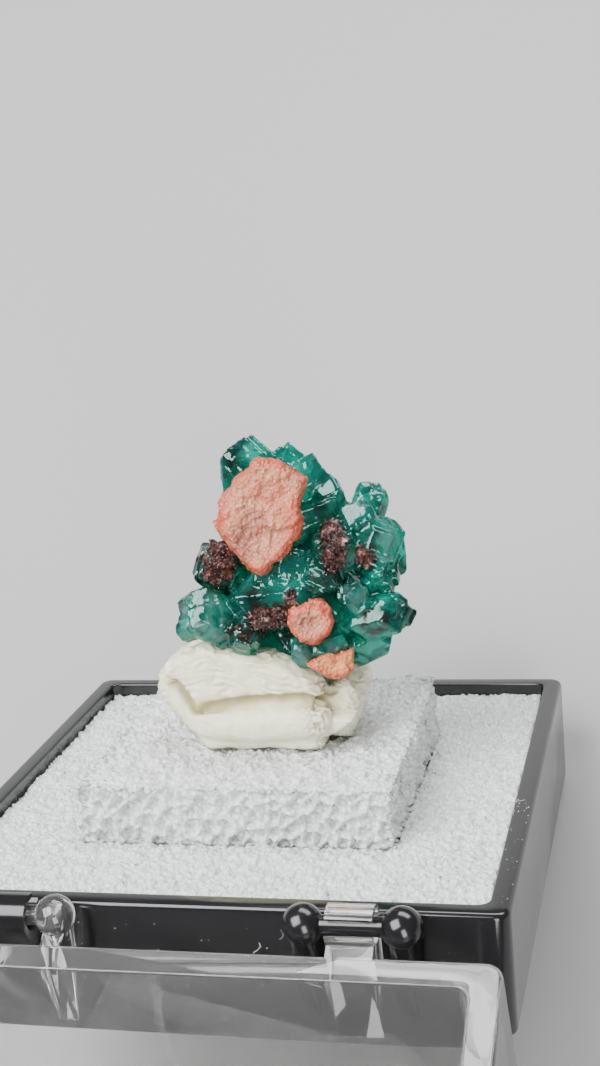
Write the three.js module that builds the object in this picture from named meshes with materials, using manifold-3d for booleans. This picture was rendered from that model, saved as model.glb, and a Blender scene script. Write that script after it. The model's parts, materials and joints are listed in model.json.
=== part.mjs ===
// A dioptase specimen in its hinged display box, fully open and set down on the open lid.
// Millimetres, +Z up. The box is built standing level in its own frame: x to the right along the
// hinge, y from the hinge wall to the back wall, z up, origin at the middle of the tray's rim plane.
// The whole is then leaned back about x until it rests on the lid's corner and the tray's back edge.
import * as THREE from 'three';
import { ConvexGeometry } from 'three/addons/geometries/ConvexGeometry.js';
import { mergeVertices } from 'three/addons/utils/BufferGeometryUtils.js';
import Module from 'manifold-3d';

const wasm = await Module();
wasm.setup();

// Box: a 1 1/4 inch square thumbnail box
const BOX_SIDE = 32;
const TRAY_HEIGHT = 6.65;
const TRAY_WALL = 1.1;
const TRAY_FLOOR = 1.2;
const LID_HEIGHT = 25;
const LID_WALL = 1.5;
const CORNER_RADIUS = 0.8;
const EDGE = 0.3; // chamfer of the moulded edges
const GAP = 0.3; // clearance between pieces that touch

// Hinges: two alike, each a pin between two balls held by a snap clip
const HINGE_REACH = 1.46; // from the outer wall to the pin
const HINGE_PLACE = 8.73; // from the box's middle to each hinge
const BALL_RADIUS = 1.03;
const PIN_RADIUS = 0.5;
const CLIP_WIDTH = 2.3;
const CLIP_RADIUS = 1.05;
const CLIP_BORE = 0.78;
const CLIP_MOUTH = 0.8;
const BALL_SPACING = CLIP_WIDTH + 2 * (BALL_RADIUS + 0.22);
const GUSSET_WIDTH = 1.1;
const GUSSET_LENGTH = 5.4;
const OPEN_ANGLE = 203.5; // the lid's outer wall then meets the tray's lower front edge

// Foam, and where the specimen stands on it
const PAD_TOP = -0.7;
const BLOCK = { left: -8.8, right: 9.1, front: -7.9, back: 8.3, top: 2.5 };
const SPECIMEN_PLACE = [2.83, 1.5, 12.58];
const SPECIMEN_LEAN = -14.6; // degrees about x
const SPECIMEN_ROLL = 5.2; // degrees about y
const SPECIMEN_TURN = 14.7; // degrees about z

// Dioptase habit: a hexagonal prism ended by three rhombohedron faces on each end
const RHOMB_SLOPE = 1.235;

// The crystals in the specimen's frame (x right, y away, z up): centre, half-width across the
// prism's flats, length, direction of the long axis, turn about it in degrees.
const CRYSTALS = [
  // crown, behind the large calcite
  [[-2.8, 0.9, 5.0], 1.75, 4.7, [0.02, -0.3, 1], 28],
  [[-0.8, 1.2, 4.85], 1.25, 4.1, [0.1, -0.35, 1], 50],
  [[0.4, 0.3, 4.55], 1.1, 3.6, [0.2, -0.45, 1], 20],
  [[1.5, 0.0, 3.45], 0.85, 3.2, [0.15, -0.4, 1], 5],
  [[-3.1, 0.2, 2.2], 1.3, 4.0, [-0.3, -0.5, 1], 50],
  // right shoulder
  [[4.0, 0.5, 3.2], 0.92, 2.9, [0.4, 0.05, 0.9], 0],
  [[3.15, -1.1, 2.15], 0.95, 3.2, [0.17, -0.56, 0.81], 10],
  [[4.35, -0.9, 1.1], 1.4, 4.0, [0.47, -0.63, -0.62], 37],
  [[4.95, 0.9, 0.7], 0.95, 3.8, [0.1, -0.2, -1], 10],
  [[4.45, -0.6, -1.15], 1.0, 2.9, [0.4, -1, -0.1], 30],
  // front
  [[3.0, -2.0, -2.1], 0.8, 2.7, [-0.55, -0.64, 0.54], 60],
  [[4.2, -1.3, -3.2], 1.1, 4.3, [1, -0.22, 0.22], 30],
  [[4.0, -0.4, -4.65], 0.95, 3.1, [0.9, -0.2, 0.45], 20],
  [[1.9, -1.4, 0.5], 1.4, 4.0, [0.3, -0.9, 0.5], 40],
  [[1.2, -1.6, -1.0], 1.3, 3.8, [-0.5, -1, 0.2], 10],
  [[-1.5, -1.6, -2.3], 1.55, 6.2, [1, -0.12, 0.1], 8],
  [[-1.0, -1.9, -0.6], 1.1, 3.6, [0.8, -0.5, 0.5], 25],
  [[-4.9, -1.3, -3.3], 1.35, 3.8, [-0.76, -0.44, 0.47], 51],
  [[-5.6, 0.3, -2.7], 1.2, 3.1, [-1, 0.1, 0.2], 0],
  [[-6.0, -0.2, -3.7], 0.8, 2.4, [-0.8, -0.5, -0.2], 20],
  [[-4.7, -0.7, -0.35], 1.3, 3.6, [-0.5, -0.75, 0.6], 35],
  [[-3.1, -1.5, -4.0], 1.1, 3.6, [0.5, -0.9, -0.35], 15],
  [[0.2, -2.5, -5.3], 0.62, 2.2, [-0.61, -0.48, 0.63], 44],
  [[1.1, -2.4, -5.0], 0.66, 2.2, [0.72, -0.47, 0.51], 8],
  [[1.95, -2.2, -4.9], 0.6, 2.2, [0.35, -0.5, 0.8], 34],
  [[-2.0, -2.4, -1.3], 0.42, 2.0, [-0.56, -0.45, 0.7], 53],
  // core and back
  [[1.2, -1.2, -4.7], 1.0, 3.8, [1, 0.1, 0.05], 10],
  [[0.2, 1.0, 1.6], 2.6, 6.6, [0.2, 0.3, 1], 0],
  [[1.6, 0.9, -2.4], 2.5, 6.2, [1, 0.3, 0.2], 15],
  [[-2.6, 1.0, -2.2], 2.4, 6.0, [-1, 0.2, 0.35], 40],
  [[-0.4, 0.9, -4.4], 1.9, 6.4, [1, 0.1, -0.1], 0],
  [[2.4, 2.2, 2.1], 1.35, 3.8, [0.45, 1, 0.35], 10],
  [[-2.0, 2.7, 3.2], 1.5, 4.2, [-0.4, 1, 0.5], 30],
  [[-4.1, 2.3, -0.6], 1.4, 3.9, [-0.9, 0.8, 0.2], 20],
  [[0.4, 3.1, 0.3], 1.6, 4.4, [0.1, 1, 0.25], 0],
  [[3.3, 2.5, -1.6], 1.3, 3.8, [0.7, 0.9, -0.1], 35],
  [[-1.9, 3.0, -2.6], 1.5, 4.2, [-0.3, 1, -0.15], 15],
  [[1.8, 2.9, -3.9], 1.2, 3.6, [0.4, 1, -0.3], 50],
];

// Granular crust grown on the front of the crystals: the patch's middle (x, z), how far its lumps
// spread each way, their mean radius and number
const CRUSTS = [
  { middle: [-4.6, -0.15], spread: [0.8, 1.3], size: 0.4, count: 9 },
  { middle: [1.85, 0.75], spread: [0.6, 1.45], size: 0.4, count: 10 },
  { middle: [3.6, 0.15], spread: [0.5, 0.5], size: 0.34, count: 5 },
  { middle: [-1.7, -3.2], spread: [1.1, 0.6], size: 0.34, count: 8 },
  { middle: [-0.5, -2.2], spread: [0.3, 0.7], size: 0.28, count: 4 },
];

// Calcites: outline seen from the front (x, z), and front and back y
const CALCITE_LARGE = {
  front: -3.9,
  back: -1.6,
  round: 0.75,
  outline: [
    [-2.45, 5.6], [-1.1, 5.55], [-0.5, 5.1], [0.35, 4.65], [0.45, 4.2], [0.1, 3.4], [0, 2.9],
    [0.2, 2.3], [0, 1.4], [-0.45, 0.95], [-0.75, 0.45], [-1.6, -0.3], [-2.1, -0.8], [-2.8, -0.45],
    [-3.3, 0.05], [-3.8, 0.7], [-4.3, 1.4], [-4.55, 2.2], [-4.6, 3.2], [-3.95, 4], [-3.6, 4.55],
    [-2.85, 5.15],
  ],
};
const CALCITE_SMALL = {
  front: -3.9,
  back: -2.3,
  round: 0.5,
  outline: [
    [0.55, -2.1], [1.2, -2.2], [1.7, -2.6], [1.8, -3.3], [1.6, -4], [1, -4.55], [0.3, -4.5],
    [-0.35, -4.1], [-0.65, -3.45], [-0.6, -3], [-0.75, -2.65], [-0.4, -2.4], [0.1, -2.5],
  ],
};
const CALCITE_LOWER = {
  front: -3.7,
  back: -2.3,
  round: 0.3,
  outline: [
    [0.35, -5.7], [1.15, -5.2], [2.1, -5.1], [2.95, -4.9], [2.95, -5.9], [2.5, -6.4], [1.4, -6.35],
  ],
};

// Putty: outlines seen from the front (x, z) in the box's frame, and their front and back y
const PUTTY_SLAB = {
  front: -3,
  back: -0.4,
  round: 0.9,
  outline: [
    [-5, 6.6], [-4.6, 7.7], [-4, 8.2], [-3.3, 8.5], [-1.8, 8.75], [-0.5, 8.4], [1.4, 8.25],
    [2.9, 7.6], [4, 6.9], [4.6, 6], [4.6, 3.6], [4.2, 2.4], [-2.4, 2.4], [-3.4, 3.8], [-4.3, 5],
  ],
};
const PUTTY_LUMP = {
  front: -1.2,
  back: 3.6,
  round: 1.3,
  outline: [
    [-6, 5.6], [-5.7, 6.6], [-5.1, 7.1], [-4.4, 7.4], [-2.9, 7.65], [-1.6, 7.3], [0.3, 7.2],
    [1.8, 6.5], [2.9, 5.8], [3.5, 5.4], [4.6, 6], [5.4, 6.3], [5.8, 5.75], [5.9, 4.8],
    [5.6, 3.7], [5.4, 2.4], [-3, 2.4], [-4.4, 3.4], [-5.4, 4.6],
  ],
};
const PUTTY_FOLD = {
  front: -3.6,
  back: -0.8,
  round: 0.7,
  outline: [
    [-3.85, 5.75], [-2.3, 5.1], [0.4, 5.5], [3.5, 5.65], [4.8, 5.4], [4.6, 3.3], [3.3, 2.6],
    [-0.45, 2.4], [-1.95, 3], [-3.15, 4.4],
  ],
};
const PUTTY_TAIL = {
  front: -2.7,
  back: -1.2,
  round: 0.2,
  outline: [[4.2, 4.7], [6.1, 4.5], [5.8, 4.1], [4.9, 3.6], [4.2, 3.4]],
};

const HALF_SIDE = BOX_SIDE / 2;
const PIN_Y = -HALF_SIDE - HINGE_REACH;
const radians = THREE.MathUtils.degToRad;

const black = { color: 0x0b0c0d, roughness: 0.15, metalness: 0 };
const clear = { color: 0xf4f1f0, roughness: 0.05, metalness: 0, transparent: true, opacity: 0.35 };
const foamWhite = { color: 0xecebf0, roughness: 0.9, metalness: 0 };
const puttyCream = { color: 0xece8c9, roughness: 0.6, metalness: 0 };
const emerald = { color: 0x07684f, roughness: 0.15, metalness: 0 };
const calcitePink = { color: 0xdd8f78, roughness: 0.5, metalness: 0 };
const calciteOrange = { color: 0xe39a6e, roughness: 0.5, metalness: 0 };

// Turns a closed geometry into a solid that can be joined and cut
function solid(geometry) {
  const bare = geometry.clone();
  bare.deleteAttribute('normal');
  bare.deleteAttribute('uv');
  const merged = mergeVertices(bare, 1e-4);
  return new wasm.Manifold(new wasm.Mesh({
    numProp: 3,
    vertProperties: new Float32Array(merged.attributes.position.array),
    triVerts: new Uint32Array(merged.index.array),
  }));
}

function geometryOf(manifold) {
  const { vertProperties, triVerts } = manifold.getMesh();
  const geometry = new THREE.BufferGeometry();
  geometry.setAttribute('position', new THREE.BufferAttribute(vertProperties, 3));
  geometry.setIndex(new THREE.BufferAttribute(triVerts, 1));
  geometry.computeVertexNormals();
  return geometry;
}

function mesh(name, geometry, look) {
  const made = new THREE.Mesh(geometry, new THREE.MeshStandardMaterial({ ...look, flatShading: true }));
  made.name = name;
  return made;
}

function joined(solids) {
  return solids.reduce((whole, piece) => whole.add(piece));
}

function roundedSquare(half, radius) {
  const shape = new THREE.Shape();
  for (let corner = 0; corner < 4; corner += 1) {
    const angle = (corner * Math.PI) / 2;
    const reach = half - radius;
    const x = corner === 0 || corner === 3 ? reach : -reach;
    const y = corner < 2 ? reach : -reach;
    shape.absarc(x, y, radius, angle, angle + Math.PI / 2);
  }
  shape.closePath();
  return shape;
}

// A square block with rounded corners and chamfered ends, standing on z = low
function moulding(half, low, high, chamfer, radius) {
  const geometry = new THREE.ExtrudeGeometry(roundedSquare(half, radius), {
    depth: high - low - 2 * chamfer,
    bevelEnabled: chamfer > 0,
    bevelThickness: chamfer,
    bevelSize: chamfer,
    bevelOffset: -chamfer,
    bevelSegments: 1,
    curveSegments: 4,
  });
  return geometry.translate(0, 0, low + chamfer);
}

// An outline in x and z, rounded towards both ends, between two y
function pillow({ outline, front, back, round }) {
  const shape = new THREE.Shape(outline.map(([x, z]) => new THREE.Vector2(x, z)));
  const geometry = new THREE.ExtrudeGeometry(shape, {
    depth: back - front - 2 * round,
    bevelThickness: round,
    bevelSize: round * 0.5,
    bevelOffset: -round * 0.5,
    bevelSegments: 3,
  });
  return geometry.rotateX(Math.PI / 2).translate(0, back - round, 0);
}

// Hinge pieces; side is -1 on the tray, where they run down the wall, and +1 on the lid
function onPin(x) {
  return new THREE.Matrix4().makeTranslation(x, PIN_Y, 0);
}

function acrossBar(radius, length, x) {
  const bar = new THREE.CylinderGeometry(radius, radius, length, 24);
  return solid(bar.rotateZ(Math.PI / 2).applyMatrix4(onPin(x)));
}

function gusset(x, width, side, profile) {
  const shape = new THREE.Shape(profile.map(([y, z]) => new THREE.Vector2(y, z * side)));
  const plate = new THREE.ExtrudeGeometry(shape, { depth: width, bevelEnabled: false });
  const upright = new THREE.Matrix4().set(0, 0, 1, 0, 1, 0, 0, 0, 0, 1, 0, 0, 0, 0, 0, 1);
  return solid(plate.applyMatrix4(upright).translate(x - width / 2, 0, 0));
}

function dumbbell(x, side) {
  const wallInside = -HALF_SIDE + 0.4;
  const profile = [
    [wallInside, 0.55], [PIN_Y, 0.25], [PIN_Y - 0.75, 0.6],
    [-HALF_SIDE - 0.05, GUSSET_LENGTH], [wallInside, GUSSET_LENGTH],
  ];
  const pieces = [acrossBar(PIN_RADIUS, BALL_SPACING, x)];
  for (const way of [-1, 1]) {
    const ballX = x + (way * BALL_SPACING) / 2;
    const ball = new THREE.SphereGeometry(BALL_RADIUS, 20, 14);
    pieces.push(solid(ball.applyMatrix4(onPin(ballX))));
    pieces.push(gusset(ballX, GUSSET_WIDTH, side, profile));
  }
  return joined(pieces);
}

function clip(x, side) {
  const wallInside = -HALF_SIDE + 0.4;
  const profile = [
    [wallInside, 0.35], [PIN_Y, 0], [PIN_Y - CLIP_RADIUS, 0.05], [PIN_Y - 0.98, 0.5],
    [-HALF_SIDE - 0.05, GUSSET_LENGTH + 0.2], [wallInside, GUSSET_LENGTH + 0.2],
  ];
  const mouth = new THREE.BoxGeometry(CLIP_WIDTH + 1, 1.3, CLIP_MOUTH);
  mouth.translate(0, 0.95, 0).rotateX((side * -Math.PI) / 4).applyMatrix4(onPin(x));
  return acrossBar(CLIP_RADIUS, CLIP_WIDTH, x)
    .add(gusset(x, CLIP_WIDTH, side, profile))
    .subtract(acrossBar(CLIP_BORE, CLIP_WIDTH + 1, x))
    .subtract(solid(mouth));
}

function trayShell() {
  const outer = solid(moulding(HALF_SIDE, -TRAY_HEIGHT, 0, EDGE, CORNER_RADIUS));
  const inside = HALF_SIDE - TRAY_WALL;
  const cavity = solid(moulding(inside, TRAY_FLOOR - TRAY_HEIGHT, 1, 0, CORNER_RADIUS / 2));
  return joined([outer.subtract(cavity), dumbbell(HINGE_PLACE, -1), clip(-HINGE_PLACE, -1)]);
}

// The lid as it stands closed, over the tray
function lidShell() {
  const outer = solid(moulding(HALF_SIDE, GAP, GAP + LID_HEIGHT, EDGE, CORNER_RADIUS));
  const inside = HALF_SIDE - LID_WALL;
  const cavity = solid(moulding(inside, -1, GAP + LID_HEIGHT - LID_WALL, 0, CORNER_RADIUS / 2));
  return joined([outer.subtract(cavity), clip(HINGE_PLACE, 1), dumbbell(-HINGE_PLACE, 1)]);
}

function foamPad() {
  const half = HALF_SIDE - TRAY_WALL - GAP;
  return moulding(half, TRAY_FLOOR - TRAY_HEIGHT + GAP, PAD_TOP, 0.25, CORNER_RADIUS);
}

function foamBlock() {
  const shape = new THREE.Shape();
  shape.moveTo(BLOCK.left, BLOCK.front);
  shape.lineTo(BLOCK.right, BLOCK.front);
  shape.lineTo(BLOCK.right, BLOCK.back);
  shape.lineTo(BLOCK.left, BLOCK.back);
  shape.closePath();
  const soft = 0.35;
  const low = PAD_TOP + GAP;
  const geometry = new THREE.ExtrudeGeometry(shape, {
    depth: BLOCK.top - low - 2 * soft,
    bevelThickness: soft,
    bevelSize: soft,
    bevelOffset: -soft,
    bevelSegments: 2,
  });
  return geometry.translate(0, 0, low + soft);
}

// One crystal; extra makes it that much larger all round
function crystal([centre, halfWidth, length, direction, turn], extra = 0) {
  const flat = halfWidth + extra;
  const corner = flat / Math.cos(Math.PI / 6);
  const half = length / 2 + extra * 1.6;
  const fall = corner * RHOMB_SLOPE;
  const points = [new THREE.Vector3(0, 0, half), new THREE.Vector3(0, 0, -half)];
  for (let edge = 0; edge < 6; edge += 1) {
    const angle = (edge * Math.PI) / 3;
    const low = edge % 2 === 0;
    const x = corner * Math.cos(angle);
    const y = corner * Math.sin(angle);
    points.push(new THREE.Vector3(x, y, half - (low ? fall : fall / 2)));
    points.push(new THREE.Vector3(x, y, -half + (low ? fall / 2 : fall)));
  }
  const axis = new THREE.Vector3(...direction).normalize();
  const aim = new THREE.Quaternion().setFromUnitVectors(new THREE.Vector3(0, 0, 1), axis);
  const spin = new THREE.Quaternion().setFromAxisAngle(new THREE.Vector3(0, 0, 1), radians(turn));
  const geometry = new ConvexGeometry(points);
  return geometry.applyQuaternion(aim.multiply(spin)).translate(...centre);
}

// Repeatable scatter between -1 and 1
function scatter(seed) {
  const wave = Math.sin(seed * 12.9898) * 43758.5453;
  return (wave - Math.floor(wave)) * 2 - 1;
}

// The y where a line going straight back at (x, z) first meets the crystals
function frontOf(target, x, z) {
  const line = new THREE.Raycaster(new THREE.Vector3(x, -30, z), new THREE.Vector3(0, 1, 0));
  const [hit] = line.intersectObject(target);
  return hit ? hit.point.y : null;
}

function crustLumps(crystals) {
  const target = mesh('crystals', geometryOf(crystals), emerald);
  const lumps = [];
  CRUSTS.forEach(({ middle, spread, size, count }, patch) => {
    for (let index = 0; index < count; index += 1) {
      const seed = patch * 101 + index * 7 + 1;
      const radius = size * (1 + 0.35 * scatter(seed));
      const x = middle[0] + spread[0] * scatter(seed + 3);
      const z = middle[1] + spread[1] * scatter(seed + 4);
      const y = frontOf(target, x, z);
      if (y !== null) {
        const lump = new THREE.IcosahedronGeometry(radius, 0);
        lump.rotateX(scatter(seed + 1) * 3).rotateY(scatter(seed + 2) * 3);
        lumps.push(solid(lump.translate(x, y + radius * 0.3, z)));
      }
    }
  });
  return lumps;
}

function calciteSolid(form, extra = 0) {
  const grown = { ...form, front: form.front - extra, back: form.back + extra };
  if (extra > 0) {
    const middle = form.outline.reduce((sum, [x, z]) => [sum[0] + x, sum[1] + z], [0, 0]);
    const [midX, midZ] = middle.map((value) => value / form.outline.length);
    grown.outline = form.outline.map(([x, z]) => {
      const reach = Math.hypot(x - midX, z - midZ);
      const scale = (reach + extra * 1.5) / reach;
      return [midX + (x - midX) * scale, midZ + (z - midZ) * scale];
    });
  }
  return solid(pillow(grown));
}

const CALCITES = [CALCITE_LARGE, CALCITE_SMALL, CALCITE_LOWER];

function dioptaseCluster() {
  const crystals = joined(CRYSTALS.map((row) => solid(crystal(row))));
  const body = joined([crystals, ...crustLumps(crystals)]);
  return CALCITES.reduce((left, form) => left.subtract(calciteSolid(form, GAP)), body);
}

const PUTTY_FORMS = [PUTTY_LUMP, PUTTY_SLAB, PUTTY_FOLD, PUTTY_TAIL];

// The putty, hollowed where the specimen is pressed into it and flat where it lies on the block
function puttySolid(specimenMatrix) {
  const lump = joined(PUTTY_FORMS.map((form) => solid(pillow(form))));
  const underside = new THREE.BoxGeometry(40, 40, 10).translate(0, 0, BLOCK.top + GAP - 5);
  const bed = CRYSTALS.map((row) => solid(crystal(row, GAP).applyMatrix4(specimenMatrix)));
  const cut = lump.subtract(solid(underside)).subtract(joined(bed));
  const calciteBeds = CALCITES.map((form) => {
    const { vertProperties, triVerts } = calciteSolid(form, GAP).getMesh();
    const geometry = new THREE.BufferGeometry();
    geometry.setAttribute('position', new THREE.BufferAttribute(vertProperties, 3));
    geometry.setIndex(new THREE.BufferAttribute(triVerts, 1));
    return solid(geometry.applyMatrix4(specimenMatrix));
  });
  return calciteBeds.reduce((left, bedSolid) => left.subtract(bedSolid), cut);
}

// A corner of the (y, z) section, as the two ends of its chamfer
function chamferEnds(y, z) {
  return [
    new THREE.Vector2(y, z - Math.sign(z) * EDGE),
    new THREE.Vector2(y - Math.sign(y) * EDGE, z),
  ];
}

// How far the open box leans back: the line under the lid's corner and the tray's back edge
function restingLine() {
  const pin = new THREE.Vector2(PIN_Y, 0);
  const lidEnds = chamferEnds(-HALF_SIDE, GAP + LID_HEIGHT)
    .map((end) => end.rotateAround(pin, radians(OPEN_ANGLE)));
  const trayEnds = chamferEnds(HALF_SIDE, -TRAY_HEIGHT);
  const corners = [...lidEnds, ...trayEnds];
  for (const lidEnd of lidEnds) {
    for (const trayEnd of trayEnds) {
      const along = trayEnd.clone().sub(lidEnd);
      const above = corners.every((corner) => along.cross(corner.clone().sub(lidEnd)) > -1e-6);
      if (above) {
        return { lidEnd, lean: -along.angle() };
      }
    }
  }
  throw new Error('the open box has no line to rest on');
}

const specimen = new THREE.Group();
specimen.position.set(...SPECIMEN_PLACE);
specimen.rotation.set(radians(SPECIMEN_LEAN), radians(SPECIMEN_ROLL), radians(SPECIMEN_TURN), 'ZXY');
specimen.updateMatrix();
specimen.add(mesh('dioptase_cluster', geometryOf(dioptaseCluster()), emerald));
specimen.add(mesh('calcite_large', pillow(CALCITE_LARGE), calcitePink));
specimen.add(mesh('calcite_small', pillow(CALCITE_SMALL), calcitePink));
specimen.add(mesh('calcite_lower', pillow(CALCITE_LOWER), calciteOrange));

const tray = new THREE.Group();
tray.add(mesh('box_base', geometryOf(trayShell()), black));
tray.add(mesh('foam_pad', foamPad(), foamWhite));
tray.add(mesh('foam_block', foamBlock(), foamWhite));
tray.add(mesh('mounting_putty', geometryOf(puttySolid(specimen.matrix)), puttyCream));
tray.add(specimen);

const lid = new THREE.Group();
lid.position.set(0, PIN_Y, 0);
lid.rotation.x = radians(OPEN_ANGLE);
lid.add(mesh('box_lid', geometryOf(lidShell()).translate(0, -PIN_Y, 0), clear));

const box = new THREE.Group();
box.add(tray, lid);

// Lean the open box back on its resting line, centred over the origin
const { lidEnd, lean } = restingLine();
box.rotation.x = lean;
const lowest = lidEnd.clone().rotateAround(new THREE.Vector2(), lean);
box.position.z = -lowest.y;
const model = new THREE.Group();
model.add(box);
model.updateMatrixWorld(true);
const bounds = new THREE.Box3().setFromObject(model, true);
box.position.x = -(bounds.min.x + bounds.max.x) / 2;
box.position.y = -(bounds.min.y + bounds.max.y) / 2;
model.updateMatrixWorld(true);

export default model;
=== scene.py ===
"""The looks of a dioptase specimen in its hinged display box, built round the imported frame."""
import json
import math

import bmesh
import bpy
import numpy as np
from mathutils import Matrix, Quaternion, Vector, noise
from mathutils.bvhtree import BVHTree


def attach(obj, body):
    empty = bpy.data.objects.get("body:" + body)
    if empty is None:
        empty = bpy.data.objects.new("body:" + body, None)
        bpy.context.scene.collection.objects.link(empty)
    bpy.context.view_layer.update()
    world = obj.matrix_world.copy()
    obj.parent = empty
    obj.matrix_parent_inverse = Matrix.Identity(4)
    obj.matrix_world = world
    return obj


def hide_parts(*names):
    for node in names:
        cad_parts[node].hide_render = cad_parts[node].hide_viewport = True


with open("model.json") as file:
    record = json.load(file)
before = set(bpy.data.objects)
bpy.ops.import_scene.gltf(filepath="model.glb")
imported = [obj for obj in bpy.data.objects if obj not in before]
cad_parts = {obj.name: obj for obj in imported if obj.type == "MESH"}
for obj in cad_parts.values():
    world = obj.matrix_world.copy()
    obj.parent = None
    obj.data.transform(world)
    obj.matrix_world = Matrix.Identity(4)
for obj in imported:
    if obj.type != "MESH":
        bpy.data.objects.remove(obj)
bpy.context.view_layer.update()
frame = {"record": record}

# Driving sizes in millimetres, in the box's own frame: x along the hinge, y from the hinge wall
# to the back wall, z up, origin at the middle of the tray's rim plane
MM = 0.001
HALF_SIDE = 16.0
TRAY_HEIGHT = 6.65
TRAY_WALL = 1.1
TRAY_FLOOR = 1.2
LID_HEIGHT = 25.0
LID_WALL = 1.5
GAP = 0.3  # between the tray's rim and the closed lid
CORNER_RADIUS = 0.8
EDGE_RADIUS = 0.3
INNER_CORNER_RADIUS = 0.6
LIP_RADIUS = 0.14
FLOOR_BEND = 0.35
SMALLEST_CORNER = 0.1
OPEN_ANGLE = math.radians(203.5)

# Hinge: pins with balls in snap clips, on gussets that start inside the wall. Heights in the two
# profiles are away from the pin's axis
HINGE_REACH = 1.46
HINGE_PLACE = 8.73
PIN_Y = -HALF_SIDE - HINGE_REACH
ROOT_Y = -HALF_SIDE + 0.4
TIP_Y = -HALF_SIDE - 0.05
BALL_RADIUS = 1.03
BALL_CLEARANCE = 0.22
PIN_RADIUS = 0.5
CLIP_WIDTH = 2.3
CLIP_RADIUS = 1.05
CLIP_BORE = 0.78
CLIP_MOUTH = 0.8
MOUTH_DEPTH = 1.3
MOUTH_PLACE = 0.95
CUTTER_SPARE = 1
BALL_SPACING = CLIP_WIDTH + 2 * (BALL_RADIUS + BALL_CLEARANCE)
GUSSET_WIDTH = 1.1
GUSSET_LENGTH = 5.4
CLIP_GUSSET_LENGTH = GUSSET_LENGTH + 0.2
GUSSET_EDGE = 0.12
CLIP_EDGE = 0.04
BALL_GUSSET = [(ROOT_Y, 0.55), (PIN_Y, 0.25), (PIN_Y - 0.75, 0.6), (TIP_Y, GUSSET_LENGTH),
               (ROOT_Y, GUSSET_LENGTH)]
CLIP_GUSSET = [(ROOT_Y, 0.35), (PIN_Y, 0), (PIN_Y - CLIP_RADIUS, 0.05), (PIN_Y - 0.98, 0.5),
               (TIP_Y, CLIP_GUSSET_LENGTH), (ROOT_Y, CLIP_GUSSET_LENGTH)]
MOULDING_SHARP = 35  # degrees between faces that keep a hard edge
CRYSTAL_SHARP = 40

# Foam: corners in the box's frame, then the surface's grid pitch, levels down its sides, smoothing
# steps, bubbles sunk into its top and sides (size, depth, seed) and how deep it wanders
PAD_TOP = -0.7
PAD_HALF = HALF_SIDE - TRAY_WALL - 0.06
PAD_CORNERS = ((-PAD_HALF, -PAD_HALF, TRAY_FLOOR - TRAY_HEIGHT + 0.05),
               (PAD_HALF, PAD_HALF, PAD_TOP + 0.08))
PAD_SURFACE = {
    "pitch": 0.115, "levels": 8, "soft": 2, "top_cells": [(0.42, 0.22, 3), (0.9, 0.12, 5)],
    "side_cells": [(0.5, 0.1, 4)], "wander": 0.12}
BLOCK_TOP = 2.5
BLOCK_CORNERS = ((-8.8, -7.9, PAD_TOP - 0.1), (9.1, 8.3, BLOCK_TOP + 0.1))
BLOCK_SURFACE = {
    "pitch": 0.095, "levels": 36, "soft": 12, "top_cells": [(0.42, 0.24, 11), (0.9, 0.14, 13)],
    "side_cells": [(0.85, 0.5, 15), (0.42, 0.16, 17)], "wander": 0.22}
WANDER_SIZE = 1.7
FOAM_FOOT = 0.1  # height above the foot that stays plain
TOP_GAIN, TOP_LOSS = 1.6, 0.2  # turn how far a face looks up into its share of the top's bubbles
BUBBLE_WALL = 0.35  # share of a bubble's size over which its wall rises
# Its back right corner is raised: from and over which x and y, and by how much
RAISED_FROM = (2, 4)
RAISED_OVER = (5, 4)
RAISED_BY = 0.55

# Putty, in the box's frame: outline (x, z), front and back y, rounding
PUTTY_SHEETS = [
    ([(-5, 6.6), (-4.6, 7.7), (-4, 8.2), (-3.3, 8.5), (-1.8, 8.75), (-0.5, 8.4), (1.4, 8.25),
      (2.9, 7.6), (4, 6.9), (4.6, 6.0), (4.6, 3.6), (4.2, 2.6), (-2.4, 2.6), (-3.4, 3.8),
      (-4.3, 5)], -3.0, -0.6, 1.0),
    ([(-6.0, 5.6), (-5.7, 6.6), (-5.1, 7.1), (-4.4, 7.4), (-2.9, 7.65), (-1.6, 7.3), (0.3, 7.2),
      (1.8, 6.5), (2.9, 5.8), (3.5, 5.4), (4.6, 6.0), (5.6, 6.35), (6.2, 5.85), (6.3, 4.8),
      (5.9, 3.7), (5.4, 2.6), (-3, 2.6), (-4.4, 3.4), (-5.4, 4.6)], -1.3, 3.6, 1.3),
    ([(4.2, 4.75), (6.2, 4.55), (5.8, 4.1), (4.9, 3.6), (4.2, 3.4)], -2.9, -1.2, 0.25),
]
# The roll's middle (x, y, z) and the crease over it (x, z)
PUTTY_ROLL = [(-2.95, -2.2, 4.85), (-2.2, -2.55, 4.35), (-0.8, -2.8, 4.3), (1.2, -2.9, 4.4),
              (3.0, -2.9, 4.5), (4.2, -2.8, 4.55)]
PUTTY_CREASE = [(-4.6, 6.9), (-3.75, 6.55), (-3.35, 5.9), (-2.96, 5.2), (-0.63, 5.62),
                (1.3, 5.8), (3.4, 5.9), (4.7, 5.6)]
ROLL_RADIUS = 1.05
ROLL_SPACING = 0.3
ROLL_FRONT = -1.4  # the roll is in front of this y
CREASE_FRONT = 0.8  # how far in front of y = 0 it starts to show
CREASE_WIDTH = 0.2
CREASE_DEPTH = 0.8
WRINKLE_PITCH, WRINKLE_DEPTH = 0.45, 0.13
ROLL_WRINKLE_PITCH, ROLL_WRINKLE_DEPTH = 0.3, 0.04
WRINKLE_POWER = 0.7
WRINKLE_LEVEL, WRINKLE_PATCH, PATCH_SHIFT = 0.6, 1.5, 11  # noise of their strength
WRINKLE_BEND = 4.5  # radians that noise moves a wrinkle
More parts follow.
